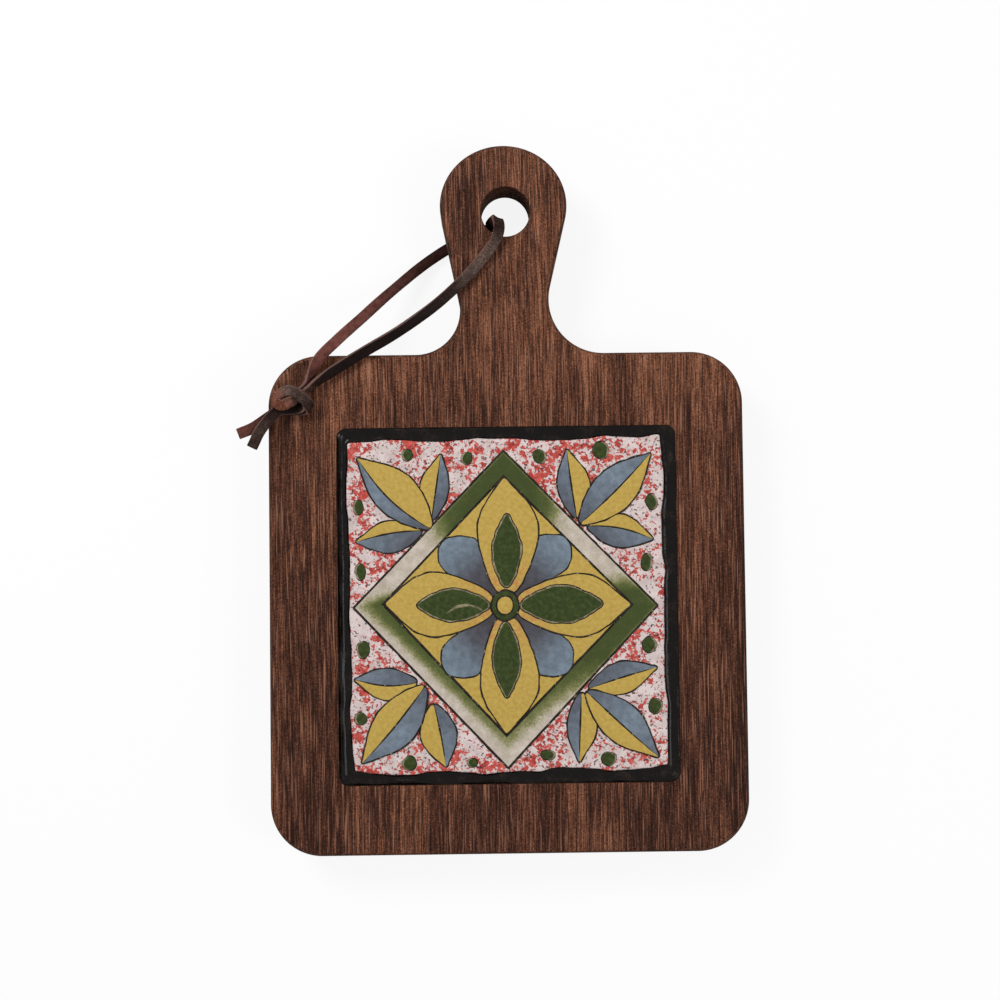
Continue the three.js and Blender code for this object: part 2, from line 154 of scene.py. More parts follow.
def moved_in(points, distance):
    return [point + inward(points, index) * distance for index, point in enumerate(points)]


def add_ring(mesh, points, height):
    return [mesh.verts.new((point.x * MM, point.y * MM, height * MM)) for point in points]


def join_rings(mesh, lower, upper):
    for index in range(len(lower)):
        following = (index + 1) % len(lower)
        mesh.faces.new((lower[index], lower[following], upper[following], upper[index]))


def skin(mesh, levels):
    """A wall through outlines at rising heights. Gives its first and last ring of points."""
    rings = [add_ring(mesh, points, height) for points, height in levels]
    for lower, upper in zip(rings, rings[1:]):
        join_rings(mesh, lower, upper)
    return rings[0], rings[-1]


def fill_flat(mesh, *rings):
    """A flat face inside the first ring, with the other rings as holes in it."""
    edges = []
    for ring in rings:
        edges += [mesh.edges.get((ring[index - 1], ring[index])) for index in range(len(ring))]
    bmesh.ops.triangle_fill(mesh, use_beauty=True, use_dissolve=False, edges=edges)


def rounded_levels(points, bottom, top, size):
    """Levels of a wall with rounded edges. A negative size rounds them outwards, as at a hole."""
    turns = [radians(90 * step / round_steps) for step in range(round_steps + 1)]
    flat = flat_strip if size > 0 else -flat_strip
    levels = [(moved_in(points, size + flat), bottom)]
    levels += [(moved_in(points, size - size * sin(t)), bottom + abs(size) * (1 - cos(t))) for t in turns]
    levels += [(moved_in(points, size - size * cos(t)), top - abs(size) * (1 - sin(t))) for t in turns]
    levels += [(moved_in(points, size + flat), top)]
    return levels


def make_piece(mesh, name, sharp=40):
    """An object from a finished mesh, smooth except where faces meet at more than an angle."""
    bmesh.ops.recalc_face_normals(mesh, faces=mesh.faces)
    data = bpy.data.meshes.new(name)
    mesh.to_mesh(data)
    mesh.free()
    data.shade_smooth()
    data.set_sharp_from_angle(angle=radians(sharp))
    piece = bpy.data.objects.new(name, data)
    scene.collection.objects.link(piece)
    return piece


board_mesh = bmesh.new()
board_bottom, board_top = skin(
    board_mesh, rounded_levels(board_outline(), board_underside, board_face, edge_round))
hole_outline = arc(bore_centre, bore_wide, bore_tall, 0, 360)[:-1]
hole_bottom, hole_top = skin(
    board_mesh, rounded_levels(hole_outline, board_underside, board_face, -bore_ease))
recess_outline = rounded_rectangle(recess_width, recess_length, recess_corner, recess_centre)
recess_low, recess_high = skin(board_mesh, [
    (recess_outline, recess_floor),
    (recess_outline, board_face - recess_ease),
    (moved_in(recess_outline, -0.3 * recess_ease), board_face - 0.3 * recess_ease),
    (moved_in(recess_outline, -recess_ease), board_face),
    (moved_in(recess_outline, -3 * recess_ease), board_face),
])
fill_flat(board_mesh, board_bottom, hole_bottom)
fill_flat(board_mesh, board_top, hole_top, recess_high)
fill_flat(board_mesh, recess_low)
board = make_piece(board_mesh, "plank")


def paint(red, green, blue):
    """A colour given as it looks on a screen, from 0 to 255, as the shader's linear colour."""
    shares = [value / 255 for value in (red, green, blue)]
    linear = [s / 12.92 if s < 0.04045 else ((s + 0.055) / 1.055) ** 2.4 for s in shares]
    return (*linear, 1)


def add(tree, kind, inputs=None, **options):
    """One shader node with its options set. An input is given a value or another node's socket."""
    node = tree.nodes.new(kind)
    for name, value in options.items():
        setattr(node, name, value)
    for name, value in (inputs or {}).items():
        if isinstance(value, bpy.types.NodeSocket):
            tree.links.new(value, node.inputs[name])
        else:
            node.inputs[name].default_value = value
    return node


def math(tree, operation, first, second=0.0):
    return add(tree, "ShaderNodeMath", {0: first, 1: second}, operation=operation).outputs[0]


def mix(tree, share, first, second, blend="MIX"):
    """Two colours mixed by a share."""
    node = add(tree, "ShaderNodeMix", {0: share, 6: first, 7: second}, data_type="RGBA", blend_type=blend)
    return node.outputs[2]


def steps(tree, value, low, high, least=0.0, most=1.0):
    """A value mapped smoothly from one range to another."""
    node = add(tree, "ShaderNodeMapRange", {0: value, 1: low, 2: high, 3: least, 4: most},
               interpolation_type="SMOOTHSTEP")
    return node.outputs[0]


def ramp(tree, value, stops):
    """Colours along a value, as (place, colour on a screen) in rising order."""
    node = add(tree, "ShaderNodeValToRGB", {0: value})
    elements = node.color_ramp.elements
    elements.remove(elements[1])
    elements[0].position = stops[0][0]
    elements[0].color = paint(*stops[0][1])
    for place, colour in stops[1:]:
        elements.new(place).color = paint(*colour)
    return node.outputs[0]


def cells(tree, place, scale, detail, roughness=0.5, distortion=0.0):
    """Cloudy noise from 0 to 1."""
    inputs = {"Vector": place, "Scale": scale, "Detail": detail,
              "Roughness": roughness, "Distortion": distortion}
    return add(tree, "ShaderNodeTexNoise", inputs).outputs[0]


def object_place(tree):
    return add(tree, "ShaderNodeTexCoord").outputs["Object"]


def axes(tree, vector):
    """The x, y and z of a vector."""
    return add(tree, "ShaderNodeSeparateXYZ", {0: vector}).outputs


def attribute(tree, name):
    return add(tree, "ShaderNodeAttribute", attribute_name=name).outputs["Fac"]


def stretched(tree, place, scale, shift):
    return add(tree, "ShaderNodeMapping", {"Vector": place, "Scale": scale, "Location": shift}).outputs[0]


def drawn_out(tree, place, along, aside, scale, detail, roughness):
    """Noise drawn out along the board, and moved aside so that no two layers are alike."""
    return cells(tree, stretched(tree, place, (1, along, 1), (aside, 0, 0)), scale, detail, roughness)


def bump(tree, height, distance, strength):
    inputs = {"Height": height, "Distance": distance, "Strength": strength}
    return add(tree, "ShaderNodeBump", inputs).outputs[0]


def new_material(name, **inputs):
    """A material with one principled shader. Gives the material, its tree and the shader's inputs."""
    material = bpy.data.materials.new(name)
    material.use_nodes = True
    tree = material.node_tree
    shader = tree.nodes["Principled BSDF"]
    for socket, value in inputs.items():
        shader.inputs[socket.replace("_", " ")].default_value = value
    return material, tree, shader.inputs


def feed(tree, sockets, **sources):
    for name, source in sources.items():
        tree.links.new(source, sockets[name.replace("_", " ")])


def centred(tree, value, strength):
    """A noise from 0 to 1 as a swing about zero."""
    return math(tree, "MULTIPLY", math(tree, "SUBTRACT", value, 0.5), strength)


def total(tree, *values):
    result = values[0]
    for value in values[1:]:
        result = math(tree, "ADD", result, value)
    return result


def wood_material():
    """Dark wood: bands and stripes of tone, fine streaks, fibres and specks, dashes of pores, and painted
    shade on steep faces.
    """
    material, tree, sockets = new_material("dark_wood", Specular_IOR_Level=0.05)
    place = object_place(tree)
    sway = drawn_out(tree, place, 0.3, 0, 18, 1, 0.5)
    ripple = drawn_out(tree, place, 0.5, 5, 160, 1, 0.5)
    aside = total(tree, math(tree, "MULTIPLY", sway, 0.006), math(tree, "MULTIPLY", ripple, 0.0003))
    swayed = add(tree, "ShaderNodeCombineXYZ", {0: aside}).outputs[0]
    grain = add(tree, "ShaderNodeVectorMath", {0: place, 1: swayed}, operation="ADD").outputs[0]

    bands = drawn_out(tree, grain, 0.1, 0, 70, 2, 0.6)
    stripes = drawn_out(tree, grain, 0.03, 2, 330, 2, 0.6)
    streaks = drawn_out(tree, grain, 0.012, 3, 1900, 2, 0.6)
    fibres = drawn_out(tree, grain, 0.03, 7, 3300, 2, 0.6)
    dark_dashes = drawn_out(tree, grain, 0.04, 11, 2300, 1, 0.4)
    pale_dashes = drawn_out(tree, grain, 0.025, 17, 2500, 1, 0.4)
    specks = cells(tree, place, 2600, 1)

    # the plank is paler towards the handle, most of all along its heart, right of the middle
    spot = axes(tree, place)
    off_heart = math(tree, "ABSOLUTE", math(tree, "SUBTRACT", spot[0], 0.010))
    upper = steps(tree, spot[1], 0.012, 0.05)
    heart = math(tree, "MULTIPLY", steps(tree, off_heart, 0.004, 0.022, 1, 0), upper)

    tone = total(
        tree, centred(tree, bands, 0.62), centred(tree, stripes, 0.4), centred(tree, streaks, 0.62),
        centred(tree, fibres, 0.95), centred(tree, specks, 0.7),
        math(tree, "MULTIPLY", upper, 0.07), math(tree, "MULTIPLY", heart, 0.09), 0.5)
    colour = ramp(tree, tone, [
        (0.2, (36, 21, 16)), (0.4, (60, 36, 28)), (0.52, (83, 51, 38)),
        (0.68, (116, 73, 53)), (0.88, (158, 108, 82))])
    pores = steps(tree, dark_dashes, 0.57, 0.66, 0, 0.65)
    colour = mix(tree, pores, colour, paint(36, 22, 17))
    colour = mix(tree, steps(tree, pale_dashes, 0.6, 0.71, 0, 0.65), colour, paint(154, 108, 86))
    # painted shade: faces that turn away from straight up, the rounded edges and the walls of the hole and
    # recess, are darkened
    facing = axes(tree, add(tree, "ShaderNodeTexCoord").outputs["Normal"])
    painted_side_shade = steps(tree, facing[2], 0.45, 0.97, 0.6, 0)
    colour = mix(tree, painted_side_shade, colour, paint(34, 22, 18))
    rough = steps(tree, tone, 0.2, 0.8, 0.66, 0.46)
    relief = math(tree, "SUBTRACT", fibres, pores)
    feed(tree, sockets, Base_Color=colour, Roughness=rough, Normal=bump(tree, relief, 0.00018, 0.6))
    return material


board.data.materials.append(wood_material())
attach(board, "board")
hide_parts("board")


# Adhesive bed
# Black setting compound: a skin under the tile that was pressed up round it. It fills the joint,
# stands in a low bead against the wood, sags between, and wets the tile's uneven edge.
joint_width = 3.7
bed_clearance = 0.05
tile_corner = 0.9
bed_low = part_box("adhesive_bed")[0].z / MM
tile_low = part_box("tile")[0].z / MM
tile_width = recess_width - 2 * joint_width
tile_length = recess_length - 2 * joint_width
side_steps = 110
corner_steps = 6
# how far the tile's hand-cut edge stands out, at even places along the right side going up, the top
# going left, the left going down and the bottom going right
tile_waves = [
    [0.1, 0.1, 0.1, 0.3, -0.4, -0.6, -0.6, -0.3, -0.3, -0.3, 0.1, -0.8, -0.8, -0.8, 0, 0.1, -0.5, -0.9],
    [1, 0.1, 0.4, 0.7, -0.2, -0.4, -0.6, -0.3, 0.2, 0.1, 0.4, -0.2, -0.6, -0.5, 0, 0.2, -0.4, -0.5],
    [0.6, 0.5, 1, 1, 0.5, 0.3, -0.1, 0.1, 0.1, 0.4, 0, -0.3, -0.4, -0.3, 0.4, -0.1, -0.4, -1],
    [-0.5, 0.3, 0.7, 0.7, -0.1, -0.2, 0.2, 0.8, 0.3, -0.1, 0.2, -1, -0.9, -0.5, 0.3, 0, -0.4, -1.4]]
tile_nicks = 0.16
coarse_lumps, fine_lumps = 0.16, 0.06
# across the joint from the wood to the tile: share, depth under the face, and share of the lip
bead_profile = [(0, 0.6, 0), (0.06, 0.6, 0.1), (0.13, 0.6, 0.55), (0.21, 0.6, 1), (0.29, 0.66, 0.55),
                (0.38, 0.85, 0.08), (0.6, 1.05, 0), (0.8, 1, 0), (0.93, 0.75, 0), (1, 0.5, 0)]
# height of the lip on the right, top, left and bottom
lip_heights = (0.06, 0.14, 0.6, 0.46)


def no_wave(side, share):
    return 0


def eased(share):
    """A share from 0 to 1 that starts and ends softly."""
    return share * share * (3 - 2 * share)


def blend(first, second, share):
    return first * (1 - share) + second * share


def patch(spot, spread, seed):
    """Smooth noise over the face, in patches of about a spread in millimetres."""
    return noise.noise(Vector((spot.x / spread, spot.y / spread, seed)))


def on_tile(points):
    """Points given from the tile's middle, at their place on the board."""
    return [point + Vector((0, recess_centre)) for point in points]


def tile_wave(side, share):
    """How far the tile's hand-cut edge stands out at a share of one side."""
    waves = tile_waves[side]
    place = share * (len(waves) - 1)
    spot = min(int(place), len(waves) - 2)
    nick = noise.noise(Vector((34 * share + 5.3 * side, 2.6, 0.2)))
    return blend(waves[spot], waves[spot + 1], eased(place - spot)) + tile_nicks * nick * sin(pi * share)


def recess_loop(width, length, corner, wave=no_wave):
    """A rounded rectangle in the recess with the same number of points whatever its size."""
    half_x = width / 2 - corner
    half_y = length / 2 - corner
    sides = [((1, 0), (0, 1), half_x, half_y), ((0, 1), (-1, 0), half_y, half_x),
             ((-1, 0), (0, -1), half_x, half_y), ((0, -1), (1, 0), half_y, half_x)]
    points = []
    for side, (out, along, reach, half) in enumerate(sides):
        out = Vector(out)
        along = Vector(along)
        start = -half - wave(side - 1, 1)
        end = half + wave((side + 1) % 4, 0)
        for step in range(side_steps):
            share = step / (side_steps - 1)
            stand = reach + corner + wave(side, share)
            points.append(out * stand + along * (start + (end - start) * share))
        for step in range(1, corner_steps):
            turn = radians(90 * step / corner_steps)
            stand = reach + wave(side, 1) + corner * cos(turn)
            points.append(out * stand + along * (end + corner * sin(turn)))
    return on_tile(points)


bed_outer = recess_loop(recess_width - 2 * bed_clearance, recess_length - 2 * bed_clearance, recess_corner)
tile_edge = recess_loop(tile_width, tile_length, tile_corner, tile_wave)


def lip_height(index):
    """Height of the lip at a point of the loop. It changes from side to side round the corners."""
    per_side = side_steps + corner_steps - 1
    side = index // per_side
    turn = max(0, index % per_side - side_steps + 1) / corner_steps
    return blend(lip_heights[side], lip_heights[(side + 1) % 4], turn)


def bead_ring(mesh, share, depth, lip):
    """Points across the joint, from the wood at share 0 to the tile at share 1, with uneven height."""
    ring = []
    for index, (outer, inner) in enumerate(zip(bed_outer, tile_edge)):
        spot = outer.lerp(inner, share)
        lumps = coarse_lumps * patch(spot, 5, 0.3) + fine_lumps * patch(spot, 1.7, 4.3)
        fade = 1 - abs(2 * share - 1) ** 6
        broken = 0.75 + 0.9 * patch(spot, 8, 7.7)
        height = board_face - depth + lip * lip_height(index) * broken + lumps * fade
        ring.append(mesh.verts.new((spot.x * MM, spot.y * MM, height * MM)))
    return ring


bed_mesh = bmesh.new()
bead_rings = [bead_ring(bed_mesh, *row) for row in bead_profile]
for outer_ring, inner_ring in zip(bead_rings, bead_rings[1:]):
    join_rings(bed_mesh, outer_ring, inner_ring)
bed_foot = add_ring(bed_mesh, bed_outer, bed_low)
pocket_floor = add_ring(bed_mesh, tile_edge, tile_low - bed_clearance)
join_rings(bed_mesh, bed_foot, bead_rings[0])
join_rings(bed_mesh, bead_rings[-1], pocket_floor)
fill_flat(bed_mesh, bed_foot)
fill_flat(bed_mesh, pocket_floor)
bed = make_piece(bed_mesh, "setting_compound", 60)


def make_mottle():
    """A shared effect: clouds of tone with fine specks in them, and the height of a hand-made skin."""
    group = bpy.data.node_groups.new("mottle", "ShaderNodeTree")
    for name, value in (("Scale", 300.0), ("Specks", 0.3)):
        socket = group.interface.new_socket(name=name, in_out="INPUT", socket_type="NodeSocketFloat")
        socket.default_value = value
    for name in ("Tone", "Height"):
        group.interface.new_socket(name=name, in_out="OUTPUT", socket_type="NodeSocketFloat")
    given = add(group, "NodeGroupInput").outputs
    place = object_place(group)
    clouds = cells(group, place, given["Scale"], 3, 0.6)
    fine = cells(group, place, math(group, "MULTIPLY", given["Scale"], 7.0), 2, 0.7)
    tone = math(group, "ADD", clouds, centred(group, fine, given["Specks"]))
    height = math(group, "ADD", clouds, math(group, "MULTIPLY", fine, 0.15))
    add(group, "NodeGroupOutput", {"Tone": tone, "Height": height})
    return group


mottle_group = make_mottle()


def mottle(tree, scale, specks):
    node = add(tree, "ShaderNodeGroup", node_tree=mottle_group)
    node.inputs["Scale"].default_value = scale
    node.inputs["Specks"].default_value = specks
    return node.outputs["Tone"], node.outputs["Height"]


def adhesive_material():
    """Glossy black compound, uneven and a little dusty, with a painted grey highlight where it stands over
    the wood.
    """
    material, tree, sockets = new_material("black_adhesive", Specular_IOR_Level=0.12)
    tone, height = mottle(tree, 260, 0.5)
    colour = ramp(tree, tone, [(0.35, (8, 5, 4)), (0.56, (14, 10, 8)), (0.78, (40, 31, 26))])
    # painted highlight: the crest of the lip, where it stands over the wood's face, is painted pale grey
    above = axes(tree, object_place(tree))[2]
    painted_crest_highlight = steps(tree, above, (board_face + 0.02) * MM, (board_face + 0.3) * MM, 0, 0.75)
    colour = mix(tree, painted_crest_highlight, colour, paint(104, 88, 80))
    rough = steps(tree, tone, 0.35, 0.7, 0.08, 0.28)
    feed(tree, sockets, Base_Color=colour, Roughness=rough, Normal=bump(tree, height, 0.0004, 0.5))
    return material


bed.data.materials.append(adhesive_material())
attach(bed, "board")
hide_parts("adhesive_bed")


# Tile
# A hand-painted ceramic tile, pressed into the compound. Its pale ground is sponged with red and
# flecked with black, and the pattern is raised: pads of coloured glaze with dark lines round them.
tile_face = 17.2
flower_middle = Vector((-0.9, -0.2))
point_step = 0.45
plain_margin = 4
# the slab's rounded upper edge: how far in it is from the cut edge, and how far under the face
slab_edge = [(0.05, 0.9), (0.1, 0.45), (0.25, 0.2), (0.5, 0.06), (0.8, 0), (1.1, 0)]

tile_mesh = bmesh.new()
slab_levels = [(moved_in(tile_edge, bed_clearance), tile_low)]
slab_levels += [(moved_in(tile_edge, inset), tile_face - depth) for inset, depth in slab_edge]
slab_bottom, slab_top = skin(tile_mesh, slab_levels)
plain_loop = recess_loop(tile_width - 2 * plain_margin, tile_length - 2 * plain_margin, tile_corner)
slab_middle = add_ring(tile_mesh, plain_loop, tile_face)
join_rings(tile_mesh, slab_top, slab_middle)
tile_mesh.faces.new(slab_middle)
tile_mesh.faces.new(slab_bottom[::-1])
tile = make_piece(tile_mesh, "tile_slab", 60)


def ground_material():
    """Pale fired ground with clusters of sponged red and many small black flecks."""
    material, tree, sockets = new_material("tile_ground", Specular_IOR_Level=0.12)
    place = object_place(tree)
    tone, height = mottle(tree, 240, 0.5)
    colour = ramp(tree, tone, [(0.35, (194, 178, 175)), (0.62, (218, 203, 200))])
    clusters = cells(tree, stretched(tree, place, (1, 1, 1), (0.3, 0.1, 0)), 120, 2, 0.5)
    sponge = cells(tree, place, 740, 3, 0.66, 0.4)
    spot = axes(tree, place)
    along = math(tree, "ABSOLUTE", math(tree, "SUBTRACT", spot[1], recess_centre * MM))
    to_ends = math(tree, "SUBTRACT", along, math(tree, "ABSOLUTE", spot[0]))
    crowd = math(tree, "SUBTRACT", to_ends, math(tree, "MULTIPLY", spot[0], 0.5))
    red = total(tree, sponge, centred(tree, clusters, 0.7), math(tree, "MULTIPLY", crowd, 0.7))
    red_share = steps(tree, red, 0.515, 0.545)
    red_tone = ramp(tree, cells(tree, place, 900, 2), [
        (0.35, (160, 54, 49)), (0.68, (204, 96, 86))])
    colour = mix(tree, red_share, colour, red_tone)
    flecks = cells(tree, stretched(tree, place, (1, 1, 1), (0.7, 0.9, 0)), 1200, 1, 0.4)
    fleck_share = steps(tree, flecks, 0.63, 0.675, 0, 0.85)
    colour = mix(tree, fleck_share, colour, paint(72, 44, 42))
    rough = steps(tree, tone, 0.3, 0.7, 0.32, 0.45)
    raised = math(tree, "SUBTRACT", height, math(tree, "MULTIPLY", red_share, 0.4))
    feed(tree, sockets, Base_Color=colour, Roughness=rough, Normal=bump(tree, raised, 0.00012, 0.5))
    return material


tile.data.materials.append(ground_material())
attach(tile, "board")
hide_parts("tile")


def evenly(points):
    """A closed outline walked at even steps."""
    loop = points + points[:1]
    lengths = [(b - a).length for a, b in zip(loop, loop[1:])]
    run = np.concatenate([[0], np.cumsum(lengths)])
    count = max(12, round(run[-1] / point_step))
    marks = np.linspace(0, run[-1], count, endpoint=False)
    xs = np.interp(marks, run, [point.x for point in loop])
    ys = np.interp(marks, run, [point.y for point in loop])
    return [Vector((x, y)) for x, y in zip(xs, ys)]


def brushed(points, soften, wobble=0.14):
    """An outline as a brush leaves it: corners softened, and the line a little unsteady."""
    points = evenly(points)
    for _ in range(soften):
        points = [(points[i - 1] + 2 * points[i] + points[(i + 1) % len(points)]) / 4
                  for i in range(len(points))]
    drift = [wobble * patch(point, 2.6, 1.7) for point in points]
    return [point + inward(points, index) * drift[index] for index, point in enumerate(points)]


def add_pad(mesh, outline, top, round_over):
    """A low pad of glaze with a rounded edge, from inside the slab up to a height over its face."""
    outline = on_tile(outline)
    rings = [(outline, tile_face - pad_root)]
    for step in range(4):
        turn = radians(30 * step)
        drop = round_over * 0.6 * (1 - sin(turn))
        rings.append((moved_in(outline, round_over * (1 - cos(turn))), tile_face + top - drop))
    bottom, last = skin(mesh, rings)
    fill_flat(mesh, bottom)
    fill_flat(mesh, last)


def bowed(base, tip, bulge, fullest=0.93, blunt=0.85, sharp=1.25):
    """A line from the base to the tip that bows to its left by a bulge, blunt at first and then sharper."""
    axis = tip - base
    across = Vector((-axis.y, axis.x)).normalized()
    shares = np.linspace(0.02, 0.985, 41)
    bows = [bulge * sin(pi * s ** fullest) ** (blunt + (sharp - blunt) * s) for s in shares]
    return [base + axis * s + across * bow for s, bow in zip(shares, bows)]


def blade(ends, right, left, *form):
    """The closed outline between two bowed lines from one base to one tip."""
    return bowed(*ends, right, *form) + bowed(*ends, left, *form)[::-1]


def vectors(*places):
    return [Vector(place) for place in places]


def grown(points, distance):
    return moved_in(points, -distance)


def oval(centre, wide, tall):
    return arc(centre, wide, tall, 0, 360)[:-1]


# heights over the tile's face at which the layers of glaze end, and how far the pads reach into it
line_low, pale_low, field_low, ground_low = 0.06, 0.11, 0.2, 0.22
line_mid, field_mid = 0.24, 0.31
line_high, field_high = 0.34, 0.41
line_top, sliver_top, field_top, painted_reflection_top = 0.43, 0.45, 0.48, 0.5
hub_line, hub_field, eye_line, eye_field = 0.5, 0.54, 0.55, 0.59
pad_root = 0.4
line_round, field_round = 0.12, 0.16
line_grow = 0.5
half_line = 0.26
petal_start = 3.2
big_form, small_form = (1.12, 0.4), (1, 0.75, 1.1)
sliver_shift = 0.22

diamond_outer = vectors((46.4, -0.8), (-0.9, 47.8), (-47.8, -0.5), (-0.5, -50.4))
diamond_inner = vectors((38.7, -0.4), (-0.9, 40.0), (-38.9, 0.6), (-0.9, -40.5))

pads = {"line": [], "pale": [], "yellow": [], "green": [], "blue": []}


def lay_line(edge, height, grow=line_grow):
    """The dark line round a field: a slightly larger pad under it."""
    pads["line"].append((brushed(grown(edge, grow), 2, 0.24), height))


def lay(colour, outline, line_height, height, soften, grow=line_grow):
    """A field of glaze with a dark line round it."""
    edge = brushed(outline, soften)
    lay_line(edge, line_height, grow)
    pads[colour].append((edge, height))


def lay_sliver(outline, height, grow):
    """A pale sliver of bare ground that shows inside a dark line."""
    pads["pale"].append((brushed(grown(brushed(outline, 3), grow), 2, 0.4), height))


# the yellow ground inside the diamond, and the four blue lobes that lie on it
pads["line"].append((brushed([corner * 1.013 for corner in diamond_outer], 2, 0.2), line_low))
pads["yellow"].append((brushed([corner * 0.985 for corner in diamond_inner], 2, 0.1), ground_low))
lobe_shares = (
    (0.02, 0.1), (0.1, 0.02), (0.92, 0.5), (1, 0.62), (1, 0.84), (0.9, 0.97), (0.7, 1), (0.46, 0.97))
for reach_x, reach_y in ((-21.3, 21.3), (19.7, 21.6), (-20.6, -22.4), (19.9, -22.3)):
    lobe = [Vector((share_x * reach_x, share_y * reach_y)) for share_x, share_y in lobe_shares]
    if reach_x * reach_y < 0:
        # mirrored, so turned round to run anticlockwise like every other outline
        lobe.reverse()
    lay("blue", lobe, line_mid, field_mid, 10)

# the four big petals with a smaller one in each: tip, and how far the big one swells to its left and
# right as seen from the hub, then base, tip and half width of the small one
petals = [
    ((-0.8, 40), 8.2, 10.4, (-0.4, 5.2), (0, 28.4), 4.2),
    ((38.6, -0.4), 9.5, 9.7, (3.7, -0.2), (29.9, 0), 5.6),
    ((-0.9, -40.4), 10.1, 7.7, (-0.7, -5.2), (-0.6, -29), 4.1),
    ((-38.6, 0.7), 9.8, 9.8, (-5.6, -0.1), (-28.6, 0.2), 4.8)]
for tip, left, right, small_base, small_tip, half_width in petals:
    outward = (Vector(tip) - flower_middle).normalized()
    base = flower_middle + outward * petal_start
    lay("yellow", blade((base, Vector(tip)), -right, left, *big_form), line_high, field_high, 3)
    small = blade(vectors(small_base, small_tip), -half_width, half_width, *small_form)
    lay("green", small, line_top, field_top, 1, 0.72)
    lay_sliver(small, sliver_top, 0.36)

# a painted reflection: a pale streak of light caught in the glaze of the small petal on the left
run = vectors((-19.6, -2.8), (-15.9, -0.9), (-12.3, -0.3), (-9.4, -1.1), (-7.2, -2.2),
              (-9.4, -0.5), (-12.3, 0.5), (-15.9, 0.1))
pads["pale"].append((brushed(run, 1, 0.2), painted_reflection_top))

# the green hub and its yellow eye
lay("green", oval(flower_middle, 4.1, 4.5), hub_line, hub_field, 1, 0.6)
lay("yellow", oval(flower_middle, 2.4, 2.7), eye_line, eye_field, 1, 0.55)

# the sprays of three split leaves: base, tip, how far the left edge, the middle line and the right
# edge bow to the left of the way from base to tip, and the colour of the left half
leaves = [
    ((-23.5, 26.1), (-20.3, 47.4), 4.9, 0.0, -3.8, "yellow"),
    ((-26.1, 23.2), (-47.5, 19.8), 5.0, -0.9, -4.7, "blue"),
    ((-23.3, 23.6), (-46.9, 46.4), 6.3, 2.3, -6.9, "blue"),
    ((21.8, 26.3), (18.8, 48.4), 4.4, 0.2, -5.5, "blue"),
    ((24.7, 24.0), (45.9, 19.7), 5.6, 1.4, -4.4, "yellow"),
    ((22.4, 24.6), (45.4, 47.0), 6.2, -0.6, -6.5, "blue"),
    ((-28.1, -23.6), (-48.2, -22.6), 5.9, 1.5, -3.7, "yellow"),
    ((-23.4, -30.2), (-19.6, -50.3), 5.1, 0.3, -5.8, "blue"),
    ((-25.7, -24.4), (-46.0, -48.9), 7.1, 0.7, -5.9, "blue"),
    ((24.3, -26.5), (46.4, -19.8), 5.0, 0.3, -4.6, "blue"),
    ((22.4, -27.2), (21.4, -49.3), 5.0, 0.0, -3.9, "yellow"),
    ((23.7, -26.9), (46.4, -48.0), 6.2, -0.2, -5.7, "blue"),
]
for index, (base, tip, left, middle, right, colour) in enumerate(leaves):
    ends = vectors(base, tip)
    in_front = index % 3 == 2
    line_height, height = (line_mid, field_mid) if in_front else (line_low, field_low)
    other = "yellow" if colour == "blue" else "blue"
    lay_line(brushed(blade(ends, right, left), 2), line_height)
    pads[colour].append((brushed(blade(ends, middle + half_line, left), 2, 0.1), height))
    pads[other].append((brushed(blade(ends, right, middle - half_line), 2, 0.1), height))

# the dots along the edges: place, half width and half height. A sliver of the ground shows inside
# each dark ring, on its outer side
dots = [
    (-30.9, 46.8, 1.9, 2.2), (-12.2, 45.6, 2, 2.3), (10.3, 45.9, 2.3, 2.5), (29.5, 47.6, 2.7, 2.9),
    (45, 31.5, 2, 2.8), (43.2, 12.8, 2, 3), (43.7, -12.9, 2.3, 2.7), (45.2, -31.8, 2.4, 2.5),
    (30.5, -47.9, 2.5, 2.4), (11.9, -46.5, 2.5, 1.8), (-11.5, -48.6, 1.9, 1.7), (-31.1, -48.6, 2.4, 2.5),
    (-46.2, 30.6, 1.7, 2.6), (-45.7, 10.6, 1.8, 2.8), (-45, -13.5, 2.2, 2.9), (-45.8, -34.7, 2, 2.2)]
for x, y, wide, tall in dots:
    aside = sliver_shift if x > 0 else -sliver_shift
    pads["line"].append((brushed(oval((x, y), wide, tall), 1, 0.45), line_low))
    pads["pale"].append((brushed(oval((x + aside, y), wide - 0.3, tall - 0.3), 1, 0.3), pale_low))
    pads["green"].append((brushed(oval((x - aside, y), wide - 0.45, tall - 0.35), 1, 0.4), field_low))


def glaze_material(name, dark, plain, pale, scale):
    """A field of glaze: cloudy colour with fine specks, glossy, with a slightly rolling skin."""
    material, tree, sockets = new_material(name, Specular_IOR_Level=0.1)
    tone, height = mottle(tree, scale, 0.55)
    colour = ramp(tree, tone, [(0.3, dark), (0.5, plain), (0.72, pale)])
    rough = steps(tree, tone, 0.3, 0.7, 0.28, 0.4)
    feed(tree, sockets, Roughness=rough, Normal=bump(tree, height, 0.0001, 0.5))
    return material, tree, sockets, colour


def from_middle(tree, reach):
    """Distance from the middle of the flower, from 0 there to 1 at a reach in millimetres."""
    middle = Vector((flower_middle.x, flower_middle.y + recess_centre, tile_face)) * MM
    distance = add(tree, "ShaderNodeVectorMath", {0: object_place(tree), 1: middle}, operation="DISTANCE")
    return math(tree, "DIVIDE", distance.outputs["Value"], reach * MM)


